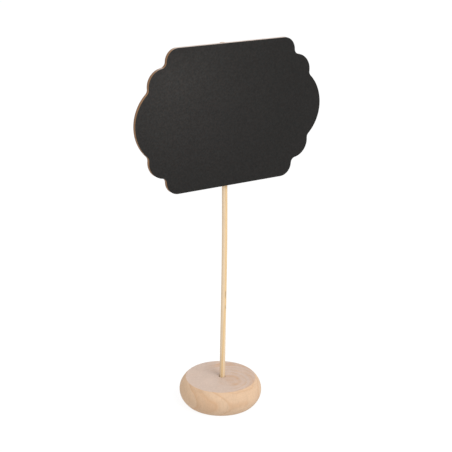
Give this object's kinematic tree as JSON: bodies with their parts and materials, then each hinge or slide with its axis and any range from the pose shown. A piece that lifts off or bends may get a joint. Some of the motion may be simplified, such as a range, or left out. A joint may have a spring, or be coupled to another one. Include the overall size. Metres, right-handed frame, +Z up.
{
  "type": "tabletop chalkboard sign",
  "caption": "Small tabletop sign: a scalloped black writing board on a thin bamboo stick that stands and turns in a round turned wooden base.",
  "frame": {"origin": "middle of the base's underside, on the table", "axes": "+Z up along the stick, +X along the board's width, -Y out of the board's writing face"},
  "size_m": [0.15, 0.061, 0.2695],
  "materials": {
    "base_wood": "bare turned and sanded pale wood",
    "bamboo": "bare smooth bamboo",
    "fibreboard": "raw cut brown fibreboard",
    "chalkboard_black": "matte black chalkboard coating",
    "clear_glue": "set hot-melt glue, satin"
  },
  "bodies": {
    "stand": {"base": "base_wood"},
    "sign": {"stick": "bamboo", "board_panel": "fibreboard", "writing_surface": "chalkboard_black", "glue_bead_left": "clear_glue", "glue_bead_right": "clear_glue"}
  },
  "joints": [
    {"name": "sign_turn", "type": "hinge", "parent": "stand", "child": "sign", "pos_m": [0.0015, 0, 0.019], "axis": [0, 0, 1], "continuous": true}
  ]
}
